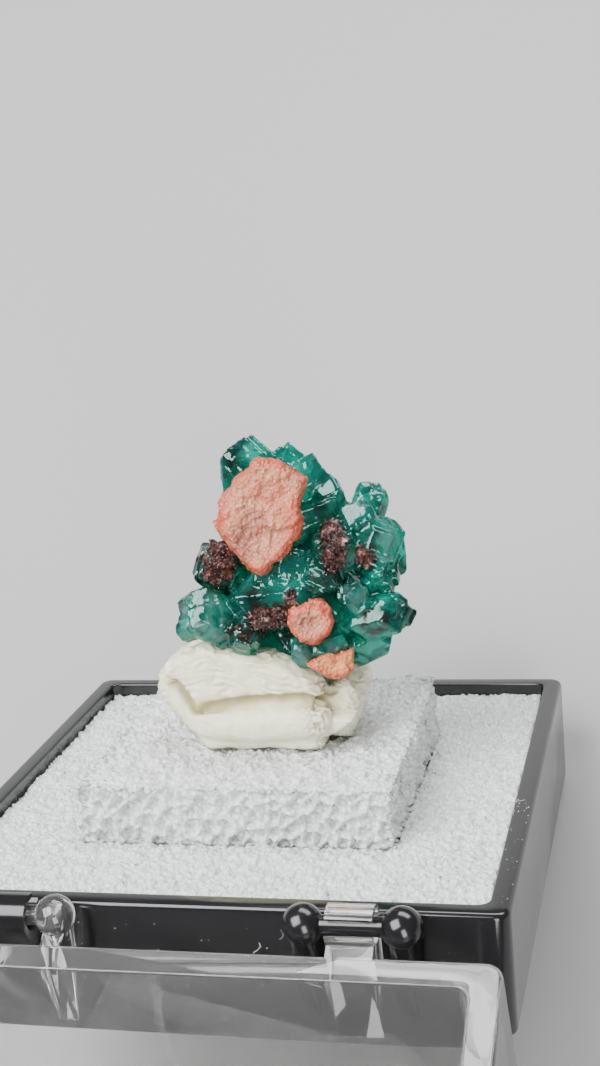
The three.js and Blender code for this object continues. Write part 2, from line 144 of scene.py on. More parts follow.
WARP_SIZE, WARP_STRETCH = 2.4, (1, 1, 1.6)  # that noise's size and stretch
FALL_FROM, WRINKLE_FALL = -1.8, 0.28  # x from which the wrinkles fall to the right, and how much
WRINKLE_SLANT = 0.25  # their fall towards the back
WRINKLE_PIVOT = (4.4, 4.6)  # (x, z) that they turn round at the right end
PIVOT_OVER = 1.2
LUMP_SIZE, LUMP_DEPTH = 1.6, 0.1
TEAR_PLACE, TEAR_REACH = 4.35, 0.8  # x of the torn end, and how far to either side
TEAR_CELL, TEAR_DEPTH, TEAR_WALL = 0.32, 0.3, 0.3
TEAR_WHOLE = 0.35  # share of its cells that stay whole
TEAR_SEED, WHOLE_SEED = 31, 5
# Painted shade: the putty's colour darkens where its surface is sunk in wrinkles, crease and tear
GROOVE_SHADE_DEPTH = 0.45  # depth at which a groove gets its full painted shade
GROOVE_SHADE_FROM, GROOVE_SHADE_MOST = 0.05, 0.85
PUTTY_SINK = 0.05  # into the foam

# Specimen: its frame (x right, y away, z up) stands in the box's frame, turned
SPECIMEN_PLACE = (2.83, 1.5, 12.58)
SPECIMEN_LEAN = math.radians(-14.6)
SPECIMEN_ROLL = math.radians(5.2)
SPECIMEN_TURN = math.radians(14.7)
RHOMB_SLOPE = 1.235  # fall of a rhombohedral end from its tip to a low corner, by corner radius

# The crystals: centre, half-width across the prism's flats, length, direction of the long axis,
# turn about it in degrees
CRYSTALS = [
    # crown, behind the large calcite
    ((-2.8, 0.9, 5.0), 1.75, 4.7, (0.02, -0.3, 1), 28),
    ((-0.8, 1.2, 4.85), 1.25, 4.1, (0.1, -0.35, 1), 50),
    ((0.4, 0.3, 4.55), 1.1, 3.6, (0.2, -0.45, 1), 20),
    ((1.5, 0.0, 3.45), 0.85, 3.2, (0.15, -0.4, 1), 5),
    ((-3.1, 0.2, 2.2), 1.3, 4.0, (-0.3, -0.5, 1), 50),
    # right shoulder
    ((4.0, 0.5, 3.2), 0.92, 2.9, (0.4, 0.05, 0.9), 0),
    ((3.15, -1.1, 2.15), 0.95, 3.2, (0.17, -0.56, 0.81), 10),
    ((4.35, -0.9, 1.1), 1.4, 4.0, (0.47, -0.63, -0.62), 37),
    ((4.95, 0.9, 0.7), 0.95, 3.8, (0.1, -0.2, -1), 10),
    ((4.45, -0.6, -1.15), 1.0, 2.9, (0.4, -1, -0.1), 30),
    # front
    ((3.0, -2.0, -2.1), 0.8, 2.7, (-0.55, -0.64, 0.54), 60),
    ((4.2, -1.3, -3.2), 1.1, 4.3, (1, -0.22, 0.22), 30),
    ((4.0, -0.4, -4.65), 0.95, 3.1, (0.9, -0.2, 0.45), 20),
    ((1.9, -1.4, 0.5), 1.4, 4.0, (0.3, -0.9, 0.5), 40),
    ((1.2, -1.6, -1.0), 1.3, 3.8, (-0.5, -1, 0.2), 10),
    ((-1.5, -1.6, -2.3), 1.55, 6.2, (1, -0.12, 0.1), 8),
    ((-1.0, -1.9, -0.6), 1.1, 3.6, (0.8, -0.5, 0.5), 25),
    ((-4.9, -1.3, -3.3), 1.35, 3.8, (-0.76, -0.44, 0.47), 51),
    ((-5.6, 0.3, -2.7), 1.2, 3.1, (-1, 0.1, 0.2), 0),
    ((-6.0, -0.2, -3.7), 0.8, 2.4, (-0.8, -0.5, -0.2), 20),
    ((-4.7, -0.7, -0.35), 1.3, 3.6, (-0.5, -0.75, 0.6), 35),
    ((-3.1, -1.5, -4.0), 1.1, 3.6, (0.5, -0.9, -0.35), 15),
    ((0.2, -2.5, -5.3), 0.62, 2.2, (-0.61, -0.48, 0.63), 44),
    ((1.1, -2.4, -5.0), 0.66, 2.2, (0.72, -0.47, 0.51), 8),
    ((1.95, -2.2, -4.9), 0.6, 2.2, (0.35, -0.5, 0.8), 34),
    ((-2.0, -2.4, -1.3), 0.42, 2.0, (-0.56, -0.45, 0.7), 53),
    # core and back
    ((1.2, -1.2, -4.7), 1.0, 3.8, (1, 0.1, 0.05), 10),
    ((0.2, 1.0, 1.6), 2.6, 6.6, (0.2, 0.3, 1), 0),
    ((1.6, 0.9, -2.4), 2.5, 6.2, (1, 0.3, 0.2), 15),
    ((-2.6, 1.0, -2.2), 2.4, 6.0, (-1, 0.2, 0.35), 40),
    ((-0.4, 0.9, -4.4), 1.9, 6.4, (1, 0.1, -0.1), 0),
    ((2.4, 2.2, 2.1), 1.35, 3.8, (0.45, 1, 0.35), 10),
    ((-2.0, 2.7, 3.2), 1.5, 4.2, (-0.4, 1, 0.5), 30),
    ((-4.1, 2.3, -0.6), 1.4, 3.9, (-0.9, 0.8, 0.2), 20),
    ((0.4, 3.1, 0.3), 1.6, 4.4, (0.1, 1, 0.25), 0),
    ((3.3, 2.5, -1.6), 1.3, 3.8, (0.7, 0.9, -0.1), 35),
    ((-1.9, 3.0, -2.6), 1.5, 4.2, (-0.3, 1, -0.15), 15),
    ((1.8, 2.9, -3.9), 1.2, 3.6, (0.4, 1, -0.3), 50),
]
# The first rows are the crown's, and the rows that face the front carry the most terraces
CROWN_ROWS = 5
STEPPED_ROWS = 24
MOST_TERRACES, FEWEST_TERRACES = 3, 1
TERRACE_SHARE = (0.45, 0.8)  # of the crystal's half-width
CROWN_EXTRA_SHARE = 0.16
TERRACE_RISE = (0.05, 0.14)
TERRACE_SHIFT, CROWN_SHIFT = (-0.3, 0.3), (-0.3, 0.1)
TERRACE_LENGTH = (0.75, 1.02)
TERRACE_TWIST = 1.5

# Granular crust: patch middle (x, z), how far it spreads each way, its lumps' mean radius, number
CRUSTS = [
    ((-4.6, -0.15), (0.8, 1.3), 0.28, 60),
    ((1.85, 0.75), (0.55, 1.45), 0.27, 60),
    ((3.6, 0.15), (0.5, 0.5), 0.24, 20),
    ((-1.7, -3.2), (1.2, 0.55), 0.23, 44),
    ((-0.5, -2.2), (0.3, 0.7), 0.2, 18),
]
SPOTS_PER_LUMP = 4  # one lump and three loose grains
RAY_START = -30  # y in front of everything
LUMP_SPREAD = 0.9
LUMP_RADII = (0.7, 1.25)
LUMP_SINK = 0.25
LUMP_FLATNESS = 0.75
GRAIN_STRETCH = (0.6, 1.3)
GRAIN_PROUD = 0.05
GRAIN_RADII = (0.05, 0.13)

# Stain, etch and painted-highlight patches on the crystals' front: middle (x, z), spread each way
FILMS = [((4.1, -3.4), (0.75, 0.8)), ((-2.7, -4.0), (1.3, 0.6)), ((-4.5, -0.2), (1.2, 1.7)),
         ((1.85, 0.7), (0.9, 1.8)), ((3.6, 0.15), (0.8, 0.8)), ((-1.5, -3.0), (1.6, 0.8))]
# Etched faces and painted highlights; the two on the right shoulder are painted highlights only
ETCHED_AND_HIGHLIGHTS = [((-5.5, -3.2), (1.3, 1.6)), ((1.2, -5.1), (1.7, 0.8)), ((3.2, 2.9), (0.6, 0.8)),
          ((4.9, 0.9), (0.7, 1.1)), ((3.1, -1.8), (0.7, 0.6))]
FILM_SEED, ETCHED_AND_HIGHLIGHT_SEED = 61, 62
STAIN_AND_GLINT_REACH, STAIN_AND_GLINT_FADE = 1.2, 3
STAIN_AND_GLINT_SIZE, STAIN_AND_GLINT_CONTRAST, STAIN_AND_GLINT_LEVEL = 0.5, 2.4, 0.75
STAIN_AND_GLINT_STRETCH = (1, 1, 0.6)
STAIN_AND_GLINT_BACK = 0.5  # no stain, etching or painted highlight behind this y

# Calcites: outline seen from the front (x, z), front and back y, and rounding
CALCITE_LARGE = ([
    (-2.45, 5.6), (-1.1, 5.55), (-0.5, 5.1), (0.35, 4.65), (0.45, 4.2), (0.1, 3.4), (0, 2.9),
    (0.2, 2.3), (0, 1.4), (-0.45, 0.95), (-0.75, 0.45), (-1.6, -0.3), (-2.1, -0.8), (-2.8, -0.45),
    (-3.3, 0.05), (-3.8, 0.7), (-4.3, 1.4), (-4.55, 2.2), (-4.6, 3.2), (-3.95, 4), (-3.6, 4.55),
    (-2.85, 5.15)], -3.9, -1.6, 0.75)
CALCITE_SMALL = ([
    (0.55, -2.1), (1.2, -2.2), (1.7, -2.6), (1.8, -3.3), (1.6, -4), (1, -4.55), (0.3, -4.5),
    (-0.35, -4.1), (-0.65, -3.45), (-0.6, -3), (-0.75, -2.65), (-0.4, -2.4), (0.1, -2.5)],
    -3.9, -2.3, 0.5)
CALCITE_LOWER = ([
    (0.35, -5.7), (1.15, -5.2), (2.1, -5.1), (2.95, -4.9), (2.95, -5.9), (2.5, -6.4),
    (1.4, -6.35)], -3.7, -2.3, 0.3)
CALCITE_ROUGH_SIZE, CALCITE_ROUGH_DEPTH = 0.8, 0.14
CALCITE_SEED = 21
CALCITE_RIM = 0.8  # width of the redder rim

# Voxel sizes that the solid forms are remeshed with
CRYSTAL_VOXEL = 0.103
CRUST_VOXEL = 0.055
CALCITE_VOXEL = 0.07
PUTTY_VOXEL = 0.085

# Lint: thin boxes on the mouldings' faces, by their corners, with the number of fibres in each
FRONT_Y = -HALF_SIDE - 0.02
TRAY_LINT = [((15.0, -15.6, 0), (15.9, -3, 0.02), 3),
             ((-14.5, FRONT_Y, -5.9), (14.5, -HALF_SIDE, -0.7), 8)]
LID_LINT = [((-14.5, FRONT_Y, 1), (14.5, -HALF_SIDE, 23), 9)]
FIBRE_STEPS = 7
FIBRE_STEP = (0.06, 0.13)
FIBRE_CURL = 0.5
FIBRE_RADII = (0.012, 0.02)
FIBRE_SIDES = 3
SPECKS_PER_FIBRE = 9
SPECK_RADII = (0.012, 0.035)

# Colours, in linear light
BLACK_STYRENE = (0.008, 0.008, 0.009, 1)
CLEAR_STYRENE = (0.97, 0.965, 0.96, 1)
FOAM_LIGHT, FOAM_DARK = (0.97, 0.98, 0.97), (0.68, 0.72, 0.72)
# The third putty colour is painted shade, laid into the sunken wrinkles and crease
PUTTY_DARK, PUTTY_LIGHT, PUTTY_GROOVE_SHADE = (0.8, 0.77, 0.55), (0.88, 0.86, 0.66), (0.5, 0.45, 0.24)
TEAL_DEEP, TEAL_MIDDLE, TEAL_BRIGHT = (0.0, 0.06, 0.05), (0.0, 0.46, 0.36), (0.03, 0.95, 0.74)
# The paler teal is for etched faces and for painted highlights where faces catch the light
TEAL_ETCHED_AND_HIGHLIGHT, BROWN_FILM = (0.2, 0.62, 0.55), (0.09, 0.03, 0.02)
TEAL_GLOSS, TEAL_ABSORPTION = (0.72, 1, 0.95, 1), (0.0, 0.83, 0.77, 1)
# Crust: dark browns and a pinkish brown, with a palest stop that is painted highlights
CRUST_TONES_AND_HIGHLIGHTS = [(0.35, (0.008, 0.003, 0.003)), (0.5, (0.04, 0.011, 0.008)),
                 (0.6, (0.13, 0.04, 0.028)), (0.72, (0.5, 0.34, 0.28))]
# Calcite: rim, pale inside and dull patches
PINK_CALCITE = ((0.6, 0.1, 0.045), (0.68, 0.28, 0.155), (0.42, 0.14, 0.085))
ORANGE_CALCITE = ((0.6, 0.14, 0.045), (0.76, 0.34, 0.13), (0.5, 0.18, 0.075))
LINT_DARK, LINT_LIGHT = 0.35, 0.75
FLOOR_COLOUR = (0.38, 0.38, 0.38, 1)
ROOM_COLOUR, ROOM_STRENGTH = (0.95, 0.97, 1, 1), 0.22

# Stage, in metres. Softboxes: place, width, height and watts, all aimed at the specimen's foot
FLOOR_HALF = 3
LIGHT_TARGET = (0, 0.01, 0.02)
SOFTBOXES = [
    ("key", (-0.2, -0.06, 0.42), 0.36, 0.36, 5.4),
    ("front", (0.2, -0.42, 0.3), 0.2, 0.36, 2.3),
    ("rim", (0.1, 0.38, 0.34), 0.45, 0.2, 2.6),
]

# Camera, in the box's frame, where the photograph was taken from; lens and sensor in millimetres
CAMERA_PLACE = (25.3993, -84.1702, 37.2387)
CAMERA_FORWARD = (-0.245, 0.9362, -0.252)
CAMERA_UP = (0.0244, 0.2657, 0.9637)
CAMERA_LENS, CAMERA_SENSOR = 54.28, 36.0
CAMERA_CLIP = (0.005, 20)

PIN = Matrix.Translation((0, PIN_Y, 0))
SWING = PIN @ Matrix.Rotation(OPEN_ANGLE, 4, "X") @ PIN.inverted()


def leaning():
    """The box's lean about x and the middle of the open lid's top, which the record gives."""
    top = next(m for m in frame["record"]["mounts"] if m["name"] == "lid_top")
    return math.atan2(-top["axis"][1], top["axis"][2]) - OPEN_ANGLE, Vector(top["pos_m"])


LEAN, LID_TOP = leaning()
LEANED = Matrix.Rotation(LEAN, 4, "X")
SCALED = LEANED @ Matrix.Scale(MM, 4)
BOX = Matrix.Translation(LID_TOP - SCALED @ SWING @ Vector((0, 0, GAP + LID_HEIGHT))) @ SCALED
LID = BOX @ SWING
TILT = (Matrix.Rotation(SPECIMEN_TURN, 4, "Z") @ Matrix.Rotation(SPECIMEN_LEAN, 4, "X")
        @ Matrix.Rotation(SPECIMEN_ROLL, 4, "Y"))
SPECIMEN = BOX @ Matrix.Translation(SPECIMEN_PLACE) @ TILT
rng = np.random.default_rng(7)


# Mesh helpers

def linked(name, data):
    """A new object of the scene that shows data."""
    made = bpy.data.objects.new(name, data)
    bpy.context.scene.collection.objects.link(made)
    return made


def new_object(name, verts, faces):
    mesh = bpy.data.meshes.new(name)
    mesh.from_pydata([tuple(v) for v in verts], [], [tuple(f) for f in faces])
    mesh.validate()
    return linked(name, mesh)


def from_bmesh(name, bm):
    mesh = bpy.data.meshes.new(name)
    bm.to_mesh(mesh)
    bm.free()
    return linked(name, mesh)


def apply_modifiers(obj):
    bpy.context.view_layer.update()
    graph = bpy.context.evaluated_depsgraph_get()
    baked = bpy.data.meshes.new_from_object(obj.evaluated_get(graph))
    obj.modifiers.clear()
    obj.data = baked


def combined(target, other, operation):
    """Joins another closed object to target or cuts it out of it, and removes the other."""
    cut = target.modifiers.new("cut", "BOOLEAN")
    cut.operation = operation
    cut.solver = "EXACT"
    cut.object = other
    apply_modifiers(target)
    bpy.data.objects.remove(other)
    return target


def union(target, others):
    for other in others:
        combined(target, other, "UNION")
    return target


def merged(objects):
    """Puts several objects' meshes into the first one, as they are."""
    bm = bmesh.new()
    for obj in objects:
        bm.from_mesh(obj.data)
    for obj in objects[1:]:
        bpy.data.objects.remove(obj)
    bm.to_mesh(objects[0].data)
    bm.free()
    return objects[0]


def remesh(obj, voxel_size, smooth_steps, factor=0.5):
    """Wraps overlapping forms in one even skin, and smooths it."""
    voxel = obj.modifiers.new("voxel", "REMESH")
    voxel.mode = "VOXEL"
    voxel.voxel_size = voxel_size
    soft = obj.modifiers.new("soft", "SMOOTH")
    soft.iterations = smooth_steps
    soft.factor = factor
    apply_modifiers(obj)


def coordinates(obj):
    co = np.empty(len(obj.data.vertices) * 3, np.float32)
    obj.data.vertices.foreach_get("co", co)
    return co.reshape(-1, 3).astype(float)


def set_coordinates(obj, co):
    obj.data.vertices.foreach_set("co", co.astype(np.float32).ravel())
    obj.data.update()


def normals(obj):
    out = np.empty(len(obj.data.vertices) * 3, np.float32)
    obj.data.vertex_normals.foreach_get("vector", out)
    return out.reshape(-1, 3).astype(float)


def add_mask(obj, name, values):
    """Stores one number per vertex, which the materials read."""
    mask = obj.data.attributes.new(name, "FLOAT", "POINT")
    mask.data.foreach_set("value", values.astype(np.float32))


def surface_of(obj):
    shape = bmesh.new()
    shape.from_mesh(obj.data)
    tree = BVHTree.FromBMesh(shape)
    shape.free()
    return tree


def finish_piece(obj, matrix, material, body, nodes, sharp_angle=None):
    """Places a piece made in millimetres, and says what it is. sharp_angle is in degrees; None is
    smooth all over and 0 flat."""
    obj.data.transform(matrix)
    if sharp_angle == 0:
        obj.data.shade_flat()
    else:
        obj.data.shade_smooth()
        if sharp_angle:
            obj.data.set_sharp_from_angle(angle=math.radians(sharp_angle))
    obj.data.materials.clear()
    obj.data.materials.append(material)
    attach(obj, body)
    if nodes:
        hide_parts(*nodes)


# Noise over many points at once

HASH_WAVES = np.array([12.9898, 78.233, 37.719])
HASH_SEED_STEP = 4.1414
HASH_GAIN = 43758.5453
FRACTAL_FALL, FRACTAL_STEP = 0.6, 2.1
PATCH_CONTRAST = 1.6


def hashed(keys, seed):
    """Repeatable values from 0 to 1 for rows of whole numbers."""
    wave = np.sin(keys @ HASH_WAVES + seed * HASH_SEED_STEP) * HASH_GAIN
    return wave - np.floor(wave)


def cells(points, size, seed):
    """Each point's nearest and second nearest distance to jittered lattice points, in units of
    size, with the nearest one's lattice key and the way from it."""
    scaled = points / size
    base = np.floor(scaled)
    nearest = np.full(len(points), np.inf)
    second = np.full(len(points), np.inf)
    key = base.copy()
    away = np.zeros_like(points)
    for shift in np.ndindex(3, 3, 3):
        cell = base + np.array(shift) - 1
        jitter = np.stack([hashed(cell, seed + k) for k in (1, 2, 3)], axis=1)
        reach = scaled - cell - jitter
        gap = np.linalg.norm(reach, axis=1)
        closer = gap < nearest
        second = np.where(closer, nearest, np.minimum(second, gap))
        nearest = np.where(closer, gap, nearest)
        key[closer] = cell[closer]
        away[closer] = reach[closer]
    return nearest, second, key, away


def openness(points, size, seed, wall):
    """0 on the walls between cells, rising to 1 inside them; wall is a share of size."""
    nearest, second, _, _ = cells(points, size, seed)
    return np.clip((second - nearest) / wall, 0, 1)


def fractal(points, size, octaves=3):
    return np.array([noise.fractal(Vector(p) / size, FRACTAL_FALL, FRACTAL_STEP, octaves)
                     for p in points])


def add_facets(obj, size, seed, tilt, lift, patchy=0.0):
    """Breaks a surface into small flat faces, each tilted and raised its own way. patchy is the
    size of the patches that stay plain."""
    co, out = coordinates(obj), normals(obj)
    _, _, key, away = cells(co, size, seed)
    lean = np.stack([hashed(key, seed + k) - 0.5 for k in (11, 12, 13)], axis=1)
    move = tilt * size * np.einsum("ij,ij->i", away, lean) + lift * (hashed(key, seed + 17) - 0.5)
    if patchy:
        move *= np.clip(0.5 + fractal(co + seed, patchy, 2) * PATCH_CONTRAST, 0, 1)
    set_coordinates(obj, co + out * move[:, None])


def roughen(obj, size, depth):
    co, out = coordinates(obj), normals(obj)
    set_coordinates(obj, co + out * (depth * fractal(co, size))[:, None])


def to_line(points, line):
    """Each point's distance to a bent line, both in two dimensions."""
    nearest = np.full(len(points), np.inf)
    for start, end in zip(line[:-1], line[1:]):
        start, along = np.array(start), np.array(end) - np.array(start)
        share = np.clip((points - start) @ along / (along @ along), 0, 1)
        gap = np.linalg.norm(points - start - share[:, None] * along, axis=1)
        nearest = np.minimum(nearest, gap)
    return nearest


# Procedural materials

GLOW_DEPTH = 0.0006  # metres that light spreads under a surface
# The Mix node's colour sockets share their names with its other ones, so they go by number
COLOUR_BELOW, COLOUR_ABOVE, COLOUR_OUT = 6, 7, 2


def new_material(name, **sockets):
    material = bpy.data.materials.new(name)
    material.use_nodes = True
    nodes = material.node_tree.nodes
    shader = nodes["Principled BSDF"]
    for key, value in sockets.items():
        shader.inputs[key.replace("_", " ")].default_value = value
    return material, nodes, material.node_tree.links, shader


def add_node(nodes, kind, **values):
    node = nodes.new(kind)
    for key, value in values.items():
        if key in node.inputs:
            node.inputs[key].default_value = value
        else:
            setattr(node, key, value)
    return node


def ramp(nodes, links, source, stops):
    node = nodes.new("ShaderNodeValToRGB")
    band = node.color_ramp
    while len(band.elements) < len(stops):
        band.elements.new(0.5)
    for element, (place, colour) in zip(band.elements, stops):
        element.position = place
        element.color = (*colour, 1)
    links.new(source, node.inputs["Fac"])
    return node.outputs["Color"]


def grey(value):
    return (value, value, value)


def textured(nodes, links, kind, scale, **values):
    """A texture in object space; scale is in features per metre."""
    place = nodes.new("ShaderNodeTexCoord")
    texture = add_node(nodes, kind, Scale=scale, **values)
    links.new(place.outputs["Object"], texture.inputs["Vector"])
    return texture


def bump(nodes, links, shader, height, strength, distance):
    """Bumps the surface by a height; distance is in metres."""
    node = add_node(nodes, "ShaderNodeBump", Strength=strength, Distance=distance)
    links.new(height, node.inputs["Height"])
    links.new(node.outputs["Normal"], shader.inputs["Normal"])


def mask_of(nodes, name):
    return add_node(nodes, "ShaderNodeAttribute", attribute_name=name).outputs["Fac"]


def laid_over(nodes, links, share, below, above):
    """One plain colour over another colour, by a share."""
    mixed = nodes.new("ShaderNodeMix")
    mixed.data_type = "RGBA"
    links.new(share, mixed.inputs["Factor"])
    links.new(below, mixed.inputs[COLOUR_BELOW])
    mixed.inputs[COLOUR_ABOVE].default_value = (*above, 1)
    return mixed.outputs[COLOUR_OUT]


def black_plastic():
    material, nodes, links, shader = new_material(
        "black_styrene", Base_Color=BLACK_STYRENE, IOR=1.55)
    smear = textured(nodes, links, "ShaderNodeTexNoise", 90.0, Detail=5.0)
    links.new(ramp(nodes, links, smear.outputs["Fac"], [(0.35, grey(0.12)), (0.7, grey(0.24))]),
              shader.inputs["Roughness"])
    bump(nodes, links, shader, smear.outputs["Fac"], 0.08, 0.0003)
    return material


def clear_plastic():
    material, nodes, links, shader = new_material(
        "clear_styrene", Base_Color=CLEAR_STYRENE, IOR=1.57, Transmission_Weight=0.97)
    smear = textured(nodes, links, "ShaderNodeTexNoise", 120.0, Detail=4.0)
    links.new(ramp(nodes, links, smear.outputs["Fac"], [(0.45, grey(0.0)), (0.75, grey(0.045))]),
              shader.inputs["Roughness"])
    bump(nodes, links, shader, smear.outputs["Fac"], 0.05, 0.0003)
    return material


def white_foam(name, scale):
    material, nodes, links, shader = new_material(
        name, Roughness=0.32, Subsurface_Weight=0.45, Subsurface_Scale=GLOW_DEPTH,
        Subsurface_Radius=(1, 1, 1))
    cell = textured(nodes, links, "ShaderNodeTexVoronoi", scale)
    links.new(ramp(nodes, links, cell.outputs["Distance"], [(0.1, FOAM_LIGHT), (0.65, FOAM_DARK)]),
              shader.inputs["Base Color"])
    bump(nodes, links, shader, cell.outputs["Distance"], 1.0, 0.0002)
    return material


def cream_putty():
    material, nodes, links, shader = new_material(
        "cream_putty", Roughness=0.46, Subsurface_Weight=0.25, Subsurface_Scale=GLOW_DEPTH,
        Subsurface_Radius=(1, 0.8, 0.5))
    patch = textured(nodes, links, "ShaderNodeTexNoise", 350.0, Detail=4.0)
    cream = ramp(nodes, links, patch.outputs["Fac"], [(0.3, PUTTY_DARK), (0.7, PUTTY_LIGHT)])
    # Painted shade: the groove mask darkens the cream where the surface is sunk
    links.new(laid_over(nodes, links, mask_of(nodes, "groove_shade"), cream, PUTTY_GROOVE_SHADE),
              shader.inputs["Base Color"])
    fine = textured(nodes, links, "ShaderNodeTexNoise", 4200.0, Detail=3.0)
    bump(nodes, links, shader, fine.outputs["Fac"], 0.25, 0.00008)
    return material


def emerald_crystal():
    """Deep teal and clear; paler on etched faces and painted highlights; brown film in places."""
    material, nodes, links, shader = new_material(
        "dioptase_green", IOR=1.66, Transmission_Weight=0.85, Specular_Tint=TEAL_GLOSS)
    zone = textured(nodes, links, "ShaderNodeTexNoise", 380.0, Detail=4.0)
    clear = ramp(nodes, links, zone.outputs["Fac"],
                 [(0.37, TEAL_DEEP), (0.54, TEAL_MIDDLE), (0.66, TEAL_BRIGHT)])
    pale = laid_over(nodes, links, mask_of(nodes, "etched_and_highlight"), clear, TEAL_ETCHED_AND_HIGHLIGHT)
    links.new(laid_over(nodes, links, mask_of(nodes, "film"), pale, BROWN_FILM),
              shader.inputs["Base Color"])
    frost = textured(nodes, links, "ShaderNodeTexNoise", 700.0, Detail=5.0)
    smooth = ramp(nodes, links, frost.outputs["Fac"], [(0.45, grey(0.06)), (0.7, grey(0.24))])
    links.new(laid_over(nodes, links, mask_of(nodes, "etched_and_highlight"), smooth, grey(0.22)),
              shader.inputs["Roughness"])
    growth = textured(nodes, links, "ShaderNodeTexNoise", 1500.0, Detail=2.0)
    bump(nodes, links, shader, growth.outputs["Fac"], 0.04, 0.0002)
    depth = add_node(nodes, "ShaderNodeVolumeAbsorption", Color=TEAL_ABSORPTION, Density=1650.0)
    links.new(depth.outputs["Volume"], nodes["Material Output"].inputs["Volume"])
    return material


def brown_crust():
    material, nodes, links, shader = new_material("brown_crust", Roughness=0.4)
    # The palest colour, on the noise's peaks, is a painted highlight
    zone = textured(nodes, links, "ShaderNodeTexNoise", 2600.0, Detail=4.0)
    links.new(ramp(nodes, links, zone.outputs["Fac"], CRUST_TONES_AND_HIGHLIGHTS), shader.inputs["Base Color"])
    return material


def frosted_calcite(name, rim, pale, dull):
    """Pale and frosty inside, redder where the rim mask of the mesh rises."""
    material, nodes, links, shader = new_material(
        name, IOR=1.58, Transmission_Weight=0.12, Subsurface_Weight=0.25,
        Subsurface_Scale=GLOW_DEPTH, Subsurface_Radius=(1, 0.5, 0.35))
    zone = textured(nodes, links, "ShaderNodeTexNoise", 420.0, Detail=5.0)
    blotch = ramp(nodes, links, zone.outputs["Fac"], [(0.36, dull), (0.5, pale), (0.68, rim)])
    edge = add_node(nodes, "ShaderNodeMath", operation="MULTIPLY")
    links.new(mask_of(nodes, "rim"), edge.inputs[0])
    links.new(zone.outputs["Fac"], edge.inputs[1])
    share = ramp(nodes, links, edge.outputs["Value"], [(0.14, grey(0)), (0.46, grey(1))])
    links.new(laid_over(nodes, links, share, blotch, rim), shader.inputs["Base Color"])
    frost = textured(nodes, links, "ShaderNodeTexVoronoi", 5000.0)
    links.new(ramp(nodes, links, frost.outputs["Distance"], [(0.2, grey(0.25)), (0.8, grey(0.6))]),
              shader.inputs["Roughness"])
    bump(nodes, links, shader, frost.outputs["Distance"], 0.8, 0.00014)
    return material


def pale_lint():
    material, nodes, links, shader = new_material("pale_lint", Roughness=0.7)
    tone = textured(nodes, links, "ShaderNodeTexNoise", 900.0)
    links.new(ramp(nodes, links, tone.outputs["Fac"],
                   [(0.4, grey(LINT_DARK)), (0.65, grey(LINT_LIGHT))]),
              shader.inputs["Base Color"])
    return material


# Moulded shells and hinge pieces

ROUND_STEPS = 40
ALONG_PIN = Matrix.Rotation(math.pi / 2, 4, "Y")


def square_ring(half, radius, z, steps=6):
    ring = []
    for corner in range(4):
        sign_x = 1 if corner in (0, 3) else -1
        sign_y = 1 if corner < 2 else -1
        for step in range(steps + 1):
            angle = (corner + step / steps) * math.pi / 2
            ring.append((sign_x * (half - radius) + radius * math.cos(angle),
                         sign_y * (half - radius) + radius * math.sin(angle), z))
    return ring


def fillet(middle, z, radius, corner, start, end, steps=5):
    """Rings that turn an edge between two angles in degrees about a line at (middle, z); corner is
    the corner radius there."""
    rings = []
    for step in range(steps + 1):
        angle = math.radians(start + (end - start) * step / steps)
        out = radius * math.cos(angle)
        rings.append(square_ring(middle + out, max(SMALLEST_CORNER, corner + out),
                                 z + radius * math.sin(angle)))
    return rings


def lofted(name, rings):
    """A closed solid through equal rings, with its first and last ring capped."""
    count = len(rings[0])
    verts = [point for ring in rings for point in ring]
    faces = []
    for level in range(len(rings) - 1):
        for k in range(count):
            a = level * count + k
            b = level * count + (k + 1) % count
            faces.append((a, b, b + count, a + count))
    faces.append(tuple(reversed(range(count))))
    last = (len(rings) - 1) * count
    faces.append(tuple(range(last, last + count)))
    return new_object(name, verts, faces)


def shell(name, low, high, wall, floor):
    """An open square box between two heights, with a floor at the low end."""
    outer, outer_corner = HALF_SIDE - EDGE_RADIUS, CORNER_RADIUS - EDGE_RADIUS
    inner = HALF_SIDE - wall
    rings = fillet(outer, low + EDGE_RADIUS, EDGE_RADIUS, outer_corner, -90, 0)
    rings += fillet(outer, high - EDGE_RADIUS, EDGE_RADIUS, outer_corner, 0, 90)
    rings += fillet(inner + LIP_RADIUS, high - LIP_RADIUS, LIP_RADIUS,
                    INNER_CORNER_RADIUS + LIP_RADIUS, 90, 180)
    rings += fillet(inner - FLOOR_BEND, low + floor + FLOOR_BEND, FLOOR_BEND,
                    INNER_CORNER_RADIUS - FLOOR_BEND, 0, -90)
    return lofted(name, rings)


def on_pin(x):
    return Matrix.Translation((x, PIN_Y, 0))


def bar(x, radius, length):
    bm = bmesh.new()
    bmesh.ops.create_cone(bm, cap_ends=True, segments=ROUND_STEPS, radius1=radius, radius2=radius,
                          depth=length)
    bm.transform(on_pin(x) @ ALONG_PIN)
    return from_bmesh("bar", bm)


def ball(x):
    bm = bmesh.new()
    bmesh.ops.create_uvsphere(bm, u_segments=ROUND_STEPS, v_segments=24, radius=BALL_RADIUS)
    bm.transform(on_pin(x) @ ALONG_PIN)
    return from_bmesh("ball", bm)


